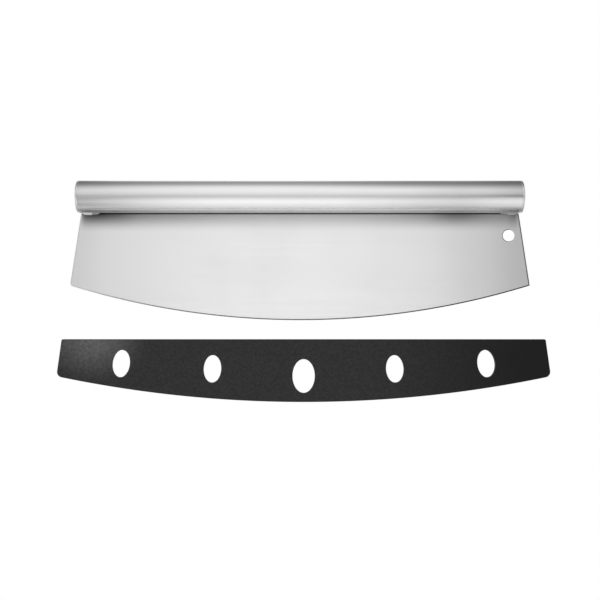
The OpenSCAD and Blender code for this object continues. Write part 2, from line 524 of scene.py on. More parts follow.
class Effect:
    """A shader effect that several materials share, as one node group with one output."""

    def __init__(self, numbers: tuple[str, ...], output: str, fill: Callable[..., NodeSocket]) -> None:
        """Builds the group.

        Args:
            numbers: names of its inputs beside the point, which are numbers.
            output: name of its output, which is a number.
            fill: makes the nodes from the group's tree and its numbers, and names the effect.
        """
        self.group = bpy.data.node_groups.new(fill.__name__, "ShaderNodeTree")
        tree = Tree(self.group)
        sockets = [("Vector", "INPUT", "Vector"), *((number, "INPUT", "Float") for number in numbers)]
        for socket, way, kind in (*sockets, (output, "OUTPUT", "Float")):
            self.group.interface.new_socket(name=socket, in_out=way, socket_type=f"NodeSocket{kind}")
        given = tree.add("NodeGroupInput").outputs
        tree.place = given["Vector"]
        tree.add("NodeGroupOutput", {output: fill(tree, *(given[number] for number in numbers))})

    def on(self, tree: Tree, **numbers: object) -> NodeSocket:
        """Places the effect in a material, with values or sockets for its numbers, and gives its output."""
        return tree.add("ShaderNodeGroup", {"Vector": tree.place, **numbers}, node_tree=self.group).outputs[0]


def grain(tree: Tree, along: NodeSocket, across: NodeSocket) -> NodeSocket:
    """Fine scratches that run along X: noise stretched by its changes in a metre along and across them."""
    stretch = tree.add("ShaderNodeCombineXYZ", {0: along, 1: across, 2: across}).outputs[0]
    return tree.noise(tree.vector("MULTIPLY", tree.place, stretch), scale=1.0, detail=3.0, roughness=0.6)


def turning(tree: Tree, across: NodeSocket) -> NodeSocket:
    """Fine grooves in circles about the X axis, as a lathe or a polishing wheel leaves them.

    Args:
        tree: the effect's nodes.
        across: changes in a metre of radius.

    Returns:
        The height.
    """
    _, y, z = tree.axes(tree.place)
    radius = tree.vector("LENGTH", tree.add("ShaderNodeCombineXYZ", {1: y, 2: z}).outputs[0])
    rings = {"W": tree.maths("MULTIPLY", radius, across), "Scale": 1.0, "Detail": 3.0}
    return tree.add("ShaderNodeTexNoise", rings, noise_dimensions="1D").outputs[0]


def level(tree: Tree, height: NodeSocket, reach: NodeSocket) -> NodeSocket:
    """How near a point lies to a level: a share that falls from 1 at the level to 0 at its reach."""
    away = tree.maths("ABSOLUTE", tree.maths("SUBTRACT", tree.axes(tree.place)[2], height))
    return tree.ranged(tree.maths("DIVIDE", away, reach), 0.0, 1.0, 1.0, 0.0)


def smudges(tree: Tree, scale: NodeSocket) -> NodeSocket:
    """Broad, faint marks left by hands and wiping, as broad noise with most of it left out."""
    return tree.ranged(tree.noise(tree.place, scale, detail=5.0, roughness=0.62), *SMUDGE_NOISE, 0.0, 1.0)


class Effects:
    """The effects that more than one finish uses."""

    def __init__(self) -> None:
        """Builds them, one group each."""
        self.grain = Effect(("Along", "Across"), "Height", grain)
        self.turning = Effect(("Across",), "Height", turning)
        self.level = Effect(("Level", "Reach"), "Mask", level)
        self.smudges = Effect(("Scale",), "Mask", smudges)


def new_material(name: str) -> tuple[Material, Tree, Node]:
    """A material with a Principled shader.

    Args:
        name: the material's name.

    Returns:
        The material, its tree and its shader.
    """
    material = bpy.data.materials.new(name)
    material.use_nodes = True
    tree = Tree(material.node_tree)
    shader = tree.add("ShaderNodeBsdfPrincipled")
    tree.add("ShaderNodeOutputMaterial", {"Surface": shader.outputs[0]})
    tree.place = tree.add("ShaderNodeTexCoord").outputs["Object"]
    return material, tree, shader


@dataclass(frozen=True)
class SteelFinish:
    """A brushed or turned steel surface."""

    name: str
    base: float = 0.80
    roughness: float = 0.27
    anisotropy: float = 0.6
    run: GrainRun = GrainRun.FLAT_ALONG_X
    scratch_along: float = 30.0
    scratch_across: float = 4200.0
    streak_along: float = 9.0
    streak_across: float = 620.0
    scratch_depth: float = 0.0016 * MM
    streak_shade: float = 0.03
    # Painted light along a level: a gain below 1 paints a shadow line there, above 1 a highlight line; dull
    # takes that much metallic off along it.
    painted_level: float = 0.0
    painted_line_reach: float = 0.0
    painted_line_gain: float = 0.08
    metallic: float = 1.0
    dull: float = 0.0
    # Painted shade near the level, as far as its reach and as deep as the stops along X say; then painted
    # shade along the whole length, by its own stops along X.
    painted_shade_reach: float = 0.0
    painted_shade: Stops = ()
    painted_shade_along: Stops = ()
    span: float = 180 * MM
    smudge_scale: float = 14.0
    streak_rough: float = 0.02
    smudge_rough: float = 0.03

    def material(self, effects: Effects) -> Material:
        """Makes the material.

        Args:
            effects: the effects that it shares with others.

        Returns:
            The material.
        """
        material, tree, shader = new_material(self.name)
        fine = self.scratches(tree, effects, self.scratch_along, self.scratch_across)
        broad = self.scratches(tree, effects, self.streak_along, self.streak_across)
        smudge = effects.smudges.on(tree, Scale=self.smudge_scale)
        shade = self.spread(tree, broad, self.base, self.base * self.streak_shade)
        metallic = self.metallic
        # Painted shadow line or painted highlight line at the level, in the base colour.
        if self.painted_line_reach > 0:
            near = effects.level.on(tree, Level=self.painted_level, Reach=self.painted_line_reach)
            shade = tree.maths("MULTIPLY", shade, tree.ranged(near, 0.0, 1.0, 1.0, self.painted_line_gain))
            if self.dull > 0:
                metallic = tree.ranged(near, 0.0, 1.0, self.metallic, self.metallic - self.dull)
        # Painted shade near the level, as deep as the stops along X say.
        if self.painted_shade:
            near = effects.level.on(tree, Level=self.painted_level, Reach=self.painted_shade_reach)
            lost = tree.maths("SUBTRACT", 1.0, self.along(tree, self.painted_shade))
            left = tree.maths("SUBTRACT", 1.0, tree.maths("MULTIPLY", near, lost))
            shade = tree.maths("MULTIPLY", shade, left)
        # Painted shade along the knife.
        if self.painted_shade_along:
            shade = tree.maths("MULTIPLY", shade, self.along(tree, self.painted_shade_along))
        rough = self.spread(tree, broad, self.roughness, self.streak_rough)
        bump = tree.add("ShaderNodeBump", {"Strength": 1.0, "Distance": self.scratch_depth, "Height": fine})
        axis, turn = self.run.value
        tree.feed(shader, {
            "Base Color": shade,
            "Metallic": metallic,
            "Roughness": tree.maths("ADD", rough, tree.maths("MULTIPLY", smudge, self.smudge_rough)),
            "Anisotropic": self.anisotropy,
            "Anisotropic Rotation": turn,
            "Normal": bump.outputs[0],
            "Tangent": tree.add("ShaderNodeTangent", direction_type="RADIAL", axis=axis).outputs[0],
        })
        return material

    def scratches(self, tree: Tree, effects: Effects, along: float, across: float) -> NodeSocket:
        """Scratches that run as the finish does.

        Args:
            tree: the material's nodes.
            effects: the shared effects.
            along: changes in a metre along the scratches.
            across: changes in a metre across them.

        Returns:
            Their height.
        """
        if self.run is GrainRun.TURNED_ABOUT_X:
            return effects.turning.on(tree, Across=across)
        return effects.grain.on(tree, Along=along, Across=across)

    def spread(self, tree: Tree, noise: NodeSocket, middle: float, more: float) -> NodeSocket:
        """A value that noise moves up and down about its middle."""
        return tree.ranged(noise, *NOISE, middle - more, middle + more)

    def along(self, tree: Tree, stops: Stops) -> NodeSocket:
        """A share that changes along the knife.

        Args:
            tree: the material's nodes.
            stops: pairs of an X in millimetres and the share there.

        Returns:
            The share.
        """
        inputs = {0: tree.axes(tree.place)[0], 1: -self.span, 2: self.span, 3: 0.0, 4: 1.0}
        share = tree.add("ShaderNodeMapRange", inputs).outputs[0]
        return tree.ramp(share, [(0.5 + stop * MM / (2 * self.span), left) for stop, left in stops])


@dataclass(frozen=True)
class PlasticFinish:
    """Black moulded plastic with a fine spark texture."""

    name: str
    base: float = 0.022
    # Painted shade: the base colour falls to this value towards the right end, over the X range below.
    painted_shade_base: float = 0.001
    painted_shade_from: float = 40 * MM
    painted_shade_to: float = 190 * MM
    roughness: float = 0.42
    specular: float = 0.30
    texture_scale: float = 2600.0
    texture_depth: float = 0.010 * MM
    mottle_scale: float = 600.0
    mottle: float = 0.25
    # A painted sheen round a point: a lighter base colour there, under a clear coat.
    sheen_middle: Vector = field(default_factory=Vector)
    sheen_reach: Vector = field(default_factory=lambda: Vector((46, 46, 37)) * MM)
    sheen_coat: float = 1.0
    painted_sheen: float = 0.07
    coat_roughness: float = 0.3
    smudge_scale: float = 22.0
    smudge_rough: float = 0.04

    def material(self, effects: Effects) -> Material:
        """Makes the material.

        Args:
            effects: the effects that it shares with others.

        Returns:
            The material.
        """
        material, tree, shader = new_material(self.name)
        spark = tree.noise(tree.place, self.texture_scale, detail=2.0)
        mottled = tree.noise(tree.place, self.mottle_scale, detail=2.0)
        smudge = effects.smudges.on(tree, Scale=self.smudge_scale)
        # Painted sheen: lighter base colour and a clear coat round the sheen's middle.
        away = tree.vector("DIVIDE", tree.vector("SUBTRACT", tree.place, self.sheen_middle), self.sheen_reach)
        sheen_share = tree.ranged(tree.vector("LENGTH", away), 0.0, 1.0, 1.0, 0.0)
        x = tree.axes(tree.place)[0]
        # Painted shade towards the right end.
        shade = tree.ranged(x, self.painted_shade_from, self.painted_shade_to, self.base, self.painted_shade_base)
        shade = tree.maths("ADD", shade, tree.maths("MULTIPLY", sheen_share, self.painted_sheen))
        speck = tree.ranged(mottled, *MOTTLE_NOISE, 1 - self.mottle, 1 + self.mottle)
        bump = tree.add("ShaderNodeBump", {"Strength": 1.0, "Distance": self.texture_depth, "Height": spark})
        tree.feed(shader, {
            "Base Color": tree.maths("MULTIPLY", shade, speck),
            "Roughness": tree.ranged(smudge, 0.0, 1.0, self.roughness, self.roughness - self.smudge_rough),
            "Specular IOR Level": self.specular,
            "Coat Weight": tree.maths("MULTIPLY", sheen_share, self.sheen_coat),
            "Coat Roughness": self.coat_roughness,
            "Normal": bump.outputs[0],
        })
        return material


def fitted(piece: Object, body: str, slot: str, *nodes: str) -> Object:
    """Makes a piece ride on its body in place of its CAD nodes.

    Args:
        piece: the piece.
        body: the body it rides on.
        slot: the record's material slot, which is not used.
        nodes: the nodes that it stands for.

    Returns:
        The piece.
    """
    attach(piece, body)
    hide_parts(*nodes)
    LOG.info("%s: %d faces, for %s", piece.name, len(piece.data.polygons), ", ".join(nodes))
    return piece


@dataclass
class Blade:
    """The curved blade: a flat plate with a tab, a ground rocking edge and a hanging hole."""

    effects: Effects
    box: Span = field(default_factory=lambda: Span.of("blade"))
    handle: Span = field(default_factory=lambda: Span.of("handle_tube"))
    length: float = 354.9 * MM
    flare: float = 8.6 * MM
    edge_radius: float = 603 * MM
    shoulder: float = 8.1 * MM
    shoulder_gap: float = 0.3 * MM
    bevel_width: float = 0.9 * MM
    edge_thickness: float = 0.2 * MM
    left_corner: float = 2.3 * MM
    right_corner: float = 0.7 * MM
    corner_steps: int = 8
    hole_diameter: float = 9 * MM
    hole_inset: float = 10.4 * MM
    hole_drop: float = 17.4 * MM
    hole_bevel: float = 0.52 * MM
    hole_steps: int = 96
    deburr: float = 0.17 * MM
    deburr_steps: int = 2
    side_chamfer: float = 0.9 * MM
    side_chamfer_lean: float = math.radians(27)
    disc_bore: float = 400 * MM
    edge_half_angle: float = math.radians(20)
    edge_steps: int = 160
    sharp: float = math.radians(25)

    @property
    def thickness(self) -> float:
        """Thickness of the plate."""
        return self.box.size.y

    @property
    def underside(self) -> float:
        """Height of the handle's underside."""
        return self.handle.low.z

    @property
    def corner_z(self) -> float:
        """Height of the two bottom corners."""
        return self.box.low.z + sag(self.edge_radius, self.length / 2)

    @property
    def arc_angle(self) -> float:
        """Slope of the rocking edge at its corners, in radians."""
        return math.asin(self.length / 2 / self.edge_radius)

    @property
    def slant(self) -> float:
        """Lean of the blade's sides, in radians."""
        return math.atan(self.flare / (self.underside - self.corner_z))

    @property
    def top(self) -> float:
        """Half of the blade's length at the handle."""
        return self.length / 2 - self.flare

    def side(self, side: Side) -> Points:
        """One side of the plate's outline.

        Args:
            side: which side.

        Returns:
            Its points from the tab to the bottom corner.
        """
        shoulder_z = self.underside - self.shoulder_gap
        tab = self.top - self.shoulder
        points = [
            (tab, self.box.high.z),
            (tab, shoulder_z),
            (self.top + self.shoulder_gap * math.tan(self.slant), shoulder_z),
            (self.length / 2, self.corner_z),
        ]
        return [(side.value * x, z) for x, z in points]

    def plate(self) -> BMesh:
        """Makes the plate.

        Returns:
            The plate before it is ground, reaching past the rocking edge.
        """
        tip = (0.0, self.corner_z - self.length / 2 * math.tan(self.arc_angle))
        bm = upright_face(self.side(Side.RIGHT) + [tip] + self.side(Side.LEFT)[::-1])
        inside = math.pi / 2 + self.arc_angle - self.slant
        for side, radius in ((Side.LEFT, self.left_corner), (Side.RIGHT, self.right_corner)):
            reach = rounding_reach(radius, inside)
            round_corner(bm, side.value * self.length / 2, self.corner_z, reach, self.corner_steps)
        thicken(bm, self.thickness + 2 * PAST)
        return bm

    def ground_disc(self) -> BMesh:
        """Makes the disc that the plate is cut from.

        Returns:
            A part of it, ground to an edge on both faces.
        """
        centre = self.box.low.z + self.edge_radius
        half, land = self.thickness / 2, self.edge_thickness / 2
        bm = bmesh.new()
        profile = [
            (-half, self.disc_bore), (-half, self.edge_radius - self.bevel_width), (-land, self.edge_radius),
            (land, self.edge_radius), (half, self.edge_radius - self.bevel_width), (half, self.disc_bore),
        ]
        bm.faces.new([bm.verts.new((0, y, centre - radius)) for y, radius in profile])
        axis = Vector((0, 0, centre))
        start = Matrix.Rotation(-self.edge_half_angle, 3, "Y")
        bmesh.ops.rotate(bm, cent=axis, matrix=start, verts=bm.verts[:])
        bmesh.ops.spin(
            bm, geom=bm.faces[:], cent=axis, axis=(0, 1, 0), angle=2 * self.edge_half_angle,
            steps=self.edge_steps, use_merge=False,
        )
        close_up(bm)
        return bm

    def side_chamfers(self) -> list[BMesh]:
        """Makes what the chamfers along the two slanted sides take away.

        Returns:
            One cutter each.
        """
        thick = DEEPER * self.side_chamfer
        cutters = []
        for side in Side:
            middle = (self.length - self.flare) / 2 - self.side_chamfer / math.cos(self.slant)
            turn = Matrix.Rotation(-side.value * self.slant, 4, "Y")
            for face in (-1, 1):
                foot = (side.value * middle, face * self.thickness / 2, (self.underside + self.corner_z) / 2)
                lean = Matrix.Rotation(-side.value * face * self.side_chamfer_lean, 4, "Z")
                out = Matrix.Translation((0, face * thick / 2, 0))
                place = Matrix.Translation(foot) @ turn @ lean @ out
                cutters.append(block((thick, thick, self.length / 2), place))
        return cutters

    def hole(self) -> BMesh:
        """Makes what the hanging hole takes away.

        Returns:
            The cutter, with the rims' rounding.
        """
        x = self.top + self.hole_drop * math.tan(self.slant) - self.hole_inset
        place = Vector((x, 0, self.underside - self.hole_drop))
        radius = self.hole_diameter / 2
        return spool(radius, radius, self.thickness, self.hole_bevel, place, 0.0, self.hole_steps)

    def is_ground(self, face: BMFace) -> bool:
        """Tells whether a face belongs to the ground edge.

        Args:
            face: the face.

        Returns:
            Whether it lies on the edge's arc and leans.
        """
        centre = Vector((0, 0, self.box.low.z + self.edge_radius))
        middle = face.calc_center_median()
        away = (Vector((middle.x, 0, middle.z)) - centre).length
        return away > self.edge_radius - self.bevel_width and abs(face.normal.y) < ROUNDED

    def mesh(self) -> BMesh:
        """Makes the whole blade.

        Returns:
            Its mesh, whose faces are numbered by their finish.
        """
        bm = cut(self.plate(), self.ground_disc(), Cut.KEEP_COMMON)
        for chamfer in self.side_chamfers():
            bm = cut(bm, chamfer)
        bm = cut(bm, self.hole())
        join_flat_faces(bm)
        bevel(bm, square_edges(bm), self.deburr, self.deburr_steps)
        for face in bm.faces:
            if self.is_ground(face):
                face.material_index = 1
            elif EDGE_ON < abs(face.normal.y) < FLAT:
                face.material_index = 2
        return bm

    def build(self) -> Object:
        """Builds the blade and dresses it.

        Returns:
            The piece.
        """
        # Painted on the flat: a shadow line where it meets the tube's underside, wider painted shade below
        # the tube that is deepest towards the ends, and painted shade towards the ends, most at the right.
        flat = SteelFinish(
            "blade_flat", base=0.95, anisotropy=0.88, roughness=0.48, streak_shade=0.008,
            painted_level=self.underside, painted_line_reach=1.9 * MM, painted_line_gain=0.06, painted_shade_reach=15.2 * MM,
            painted_shade=(
                (-172, 0.9), (-169, 0.7), (-166, 0.15), (-147, 0.13), (-124, 0.34),
                (-77, 0.49), (0, 0.57), (77, 0.50), (100, 0.39), (119, 0.23),
                (138, 0.35), (158, 0.48), (166, 0.34), (169.5, 0.8),
            ),
            painted_shade_along=(
                (-177, 0.93), (-150, 1.0), (100, 1.0), (125, 0.95), (148, 0.9),
                (160, 0.84), (177, 0.8),
            ),
        )
        # The ground edge's colour is painted darker from left to right: painted shade.
        ground = SteelFinish(
            "ground_edge", base=0.8, roughness=0.34, anisotropy=0.3, scratch_along=2600.0,
            scratch_across=40.0, streak_along=700.0, streak_across=20.0, streak_shade=0.06,
            painted_shade_along=(
                (-177, 1.0), (-150, 0.75), (-110, 0.5), (-50, 0.28), (0, 0.2), (80, 0.15),
                (120, 0.08), (177, 0.1),
            ),
        )
        # Painted light and shade on the sheared edges along X: mid grey at the left, dark over most of the
        # hole's rim and along the right side, lighter at the rim's right end.
        sheared = SteelFinish(
            "sheared_edge", base=0.95, roughness=0.3, anisotropy=0.0, streak_along=300.0,
            painted_shade_along=(
                (-177, 0.6), (120, 0.25), (152, 0.02), (159, 0.03), (162, 0.25),
                (165, 0.8), (167, 0.3), (169, 0.12), (177, 0.11),
            ),
        )
        materials = [finish.material(self.effects) for finish in (flat, ground, sheared)]
        piece = finished(self.mesh(), "ground_blade", materials, self.sharp)
        return fitted(piece, "knife", "blade_steel", "blade")


def spool(
    half_width: float, half_height: float, depth: float, flare: float, place: Vector, tilt: float,
    segments: int,
) -> BMesh:
    """What an oval hole with rounded rims takes away from a wall that stands in the XZ plane.

    Args:
        half_width: half of the hole's width.
        half_height: half of its height.
        depth: thickness of the wall, centred on the hole.
        flare: radius of its rims' rounding.
        place: the hole's middle.
        tilt: its turn about Y, in radians.
        segments: steps round the oval.

    Returns:
        The cutter.
    """
    bm = bmesh.new()
    start = Matrix.Rotation(math.pi / 2, 4, "X")
    ring = bmesh.ops.create_circle(bm, cap_ends=False, segments=segments, radius=1.0, matrix=start)["verts"]
    turns = [math.pi / 2 * i / RIM_STEPS for i in range(RIM_STEPS + 1)]
    rim = [(flare * (1 - math.sin(a)), flare * (1 - math.cos(a)) - RIM_PROUD) for a in turns]
    near = [(flare, -depth / 2 - PAST)] + [(more, -depth / 2 + inward) for more, inward in rim]
    stations = near + [(more, -y) for more, y in reversed(near)]
    width, height, y = 1.0, 1.0, 0.0
    for number, (more, next_y) in enumerate(stations):
        if number:
            edges = {e for v in ring for e in v.link_edges if all(w in ring for w in e.verts)}
            grown = bmesh.ops.extrude_edge_only(bm, edges=list(edges))["geom"]
            ring = [g for g in grown if isinstance(g, BMVert)]
        next_width, next_height = half_width + more, half_height + more
        bmesh.ops.scale(bm, vec=(next_width / width, 1, next_height / height), verts=ring)
        bmesh.ops.translate(bm, vec=(0, next_y - y, 0), verts=ring)
        width, height, y = next_width, next_height, next_y
    close_up(bm)
    turn = Matrix.Translation(place) @ Matrix.Rotation(tilt, 4, "Y")
    bmesh.ops.transform(bm, matrix=turn, verts=bm.verts[:])
    return bm


@dataclass
class Handle:
    """The tubular handle with its slit, its two end caps and the two welds that hold the blade."""

    effects: Effects
    blade: Blade
    box: Span = field(default_factory=lambda: Span.of("handle_tube"))
    wall: float = 1 * MM
    slit_fit: float = 0.05 * MM
    cap_thickness: float = 2 * MM
    cap_round: float = 1.2 * MM
    cap_sheet: float = 0.9 * MM
    cap_skirt: float = 4 * MM
    cap_fit: float = 0.05 * MM
    cap_seam: float = 0.25 * MM
    cap_round_steps: int = 8
    cap_seam_steps: int = 2
    cap_sheet_steps: int = 4
    weld_radius: float = 1.9 * MM
    weld_fullness: int = 4
    weld_length: float = 14 * MM
    weld_inset: float = 0.7 * MM
    weld_rise: float = 0.2 * MM
    ripples: int = 4
    ripple_height: float = 0.12 * MM
    ground_length: float = 8 * MM
    ground_radius: float = 1.65 * MM
    ground_angle: float = math.radians(34)
    ground_reach: float = 0.75
    bead_stations: int = 56
    bead_steps: int = 64
    steps: int = 160

    @property
    def radius(self) -> float:
        """Outside radius of the tube."""
        return self.box.size.z / 2

    @property
    def bore(self) -> float:
        """Inside radius of the tube."""
        return self.radius - self.wall

    def tube_mesh(self) -> BMesh:
        """Makes the tube.

        Returns:
            The tube with the slit in its underside.
        """
        end = self.box.high.x
        profile = [(-end, self.bore), (end, self.bore), (end, self.radius), (-end, self.radius)]
        bm = lathe(profile, {}, self.steps)
        tab = self.blade.top - self.blade.shoulder
        slit = (2 * (tab + self.slit_fit), self.blade.thickness + 2 * self.slit_fit, DEEPER * self.wall)
        return cut(bm, block(slit, Matrix.Translation((0, 0, -self.radius))))

    def cap_mesh(self, side: Side) -> BMesh:
        """Makes a cap, a pressed cup whose skirt goes into the tube.

        Args:
            side: the tube's end that it closes.

        Returns:
            The cap in its place.
        """
        skirt = self.bore - self.cap_fit
        inner = skirt - self.cap_sheet
        face = self.cap_thickness
        profile = [
            (face, 0.0), (face, self.radius), (0.0, self.radius), (0.0, skirt), (-self.cap_skirt, skirt),
            (-self.cap_skirt, inner), (face - self.cap_sheet, inner), (face - self.cap_sheet, 0.0),
        ]
        roundings = {
            1: (self.cap_round, self.cap_round_steps),
            2: (self.cap_seam, self.cap_seam_steps),
            6: (self.cap_sheet, self.cap_sheet_steps),
        }
        bm = lathe(profile, roundings, self.steps)
        if side is Side.LEFT:
            mirror(bm)
        move(bm, side.value * self.box.high.x, 0, 0)
        return bm

    def bead(self, share: float) -> float:
        """The weld bead's outline, rippled on the half that faces the knife's middle.

        Args:
            share: a share of the bead's length.

        Returns:
            Its radius there.
        """
        full = self.weld_radius * math.sqrt(1 - abs(2 * share - 1) ** self.weld_fullness)
        ripple = 0.5 - 0.5 * math.cos(math.tau * share * 2 * self.ripples) if share < 0.5 else 0.0
        return full - self.ripple_height * ripple

    def weld_mesh(self, side: Side) -> BMesh:
        """Makes a weld, a bead along both sides of the joint that is ground flat on its outer stretch.

        Args:
            side: the blade's corner that it holds.

        Returns:
            The weld in its place, whose faces are numbered by their finish.
        """
        shares = [i / self.bead_stations for i in range(1, self.bead_stations)]
        outline = [(self.weld_length * share, self.bead(share)) for share in shares]
        bm = lathe([(0.0, 0.0), *outline, (self.weld_length, 0.0)], {}, self.bead_steps)
        outer = self.blade.top - self.weld_inset
        level = -self.radius + self.weld_rise
        move(bm, outer - self.weld_length, 0, level)
        end = self.box.high.x + self.weld_length
        bm = cut(bm, lathe([(0.0, 0.0), (0.0, self.radius), (end, self.radius), (end, 0.0)], {}, self.steps))
        plate = (self.blade.length, self.blade.thickness, self.weld_length)
        top = self.blade.underside - self.blade.shoulder_gap
        bm = cut(bm, block(plate, Matrix.Translation((0, 0, top - self.weld_length / 2))))
        for face in (-1, 1):
            away = Matrix.Translation((outer - self.ground_length / 2 + PAST, 0, level))
            lean = Matrix.Rotation(-face * self.ground_angle, 4, "X")
            off = Matrix.Translation((0, face * (self.ground_radius + self.weld_radius), 0))
            size = (self.ground_length + 2 * PAST, 2 * self.weld_radius, DEEPER * self.weld_radius)
            bm = cut(bm, block(size, away @ lean @ off))
        bm.normal_update()
        for weld_face in bm.faces:
            weld_face.material_index = int(self.is_ground(weld_face))
        if side is Side.LEFT:
            mirror(bm)
        return bm

    def is_ground(self, face: BMFace) -> bool:
        """Tells whether a face of the right weld was brushed when the bead was ground.

        Args:
            face: the face.

        Returns:
            Whether it lies on the ground stretch and faces nearly as the flat there does.
        """
        start = self.blade.top - self.weld_inset - self.ground_length
        y = math.copysign(math.cos(self.ground_angle), face.normal.y)
        lean = Vector((0, y, -math.sin(self.ground_angle)))
        return face.calc_center_median().x > start and face.normal.dot(lean) > self.ground_reach

    def build(self) -> None:
        """Builds the tube, the caps and the welds, and dresses them."""
        # Painted on the tube: a highlight line along its underside, with less metallic there, painted shade
        # near the underside that deepens towards both ends, and slightly darker paint over all but its right
        # end.
        tube = SteelFinish(
            "brushed_tube", base=0.74, roughness=0.22, anisotropy=0.35, run=GrainRun.TUBE_ALONG_X,
            streak_shade=0.015, painted_level=-self.radius, painted_line_reach=1.8 * MM, painted_line_gain=1.35, dull=0.75,
            painted_shade_reach=4.5 * MM,
            painted_shade=(
                (-172, 0.7), (-165, 0.5), (-150, 0.72), (-130, 0.85), (-95, 0.97), (0, 1.0),
                (95, 0.97), (120, 0.85), (150, 0.8), (165, 0.45), (172, 0.6),
            ),
            painted_shade_along=((-177, 0.92), (120, 0.92), (140, 0.98), (150, 1.0), (177, 1.0)),
        )
        cap = SteelFinish(
            "turned_cap", base=0.68, roughness=0.26, anisotropy=0.4, run=GrainRun.TURNED_ABOUT_X,
            scratch_across=5200.0, streak_across=1100.0,
        )
        bead = SteelFinish(
            "weld_bead", base=0.30, roughness=0.36, anisotropy=0.0, scratch_along=900.0, scratch_across=900.0,
            streak_along=500.0, streak_across=500.0, scratch_depth=0.01 * MM, streak_shade=0.12,
        )
        # The ground weld's colour is painted darker from left to right, so the right weld is dimmer: painted
        # shade.
        ground = SteelFinish(
            "ground_weld", base=0.8, roughness=0.30, anisotropy=0.2, streak_along=200.0, streak_across=900.0,
            metallic=0.45, painted_shade_along=((-172, 1.0), (0, 0.7), (172, 0.5)),
        )
        piece = finished(self.tube_mesh(), "slotted_tube", [tube.material(self.effects)])
        fitted(piece, "knife", "handle_steel", "handle_tube")
        cap_material = cap.material(self.effects)
        weld_materials = [bead.material(self.effects), ground.material(self.effects)]
        for side in Side:
            piece = finished(self.cap_mesh(side), f"{side.word}_cap", [cap_material])
            fitted(piece, "knife", "cap_steel", f"{side.word}_end_cap")
            piece = finished(self.weld_mesh(side), f"{side.word}_bead", weld_materials)
            fitted(piece, "knife", "weld_metal", f"{side.word}_weld")


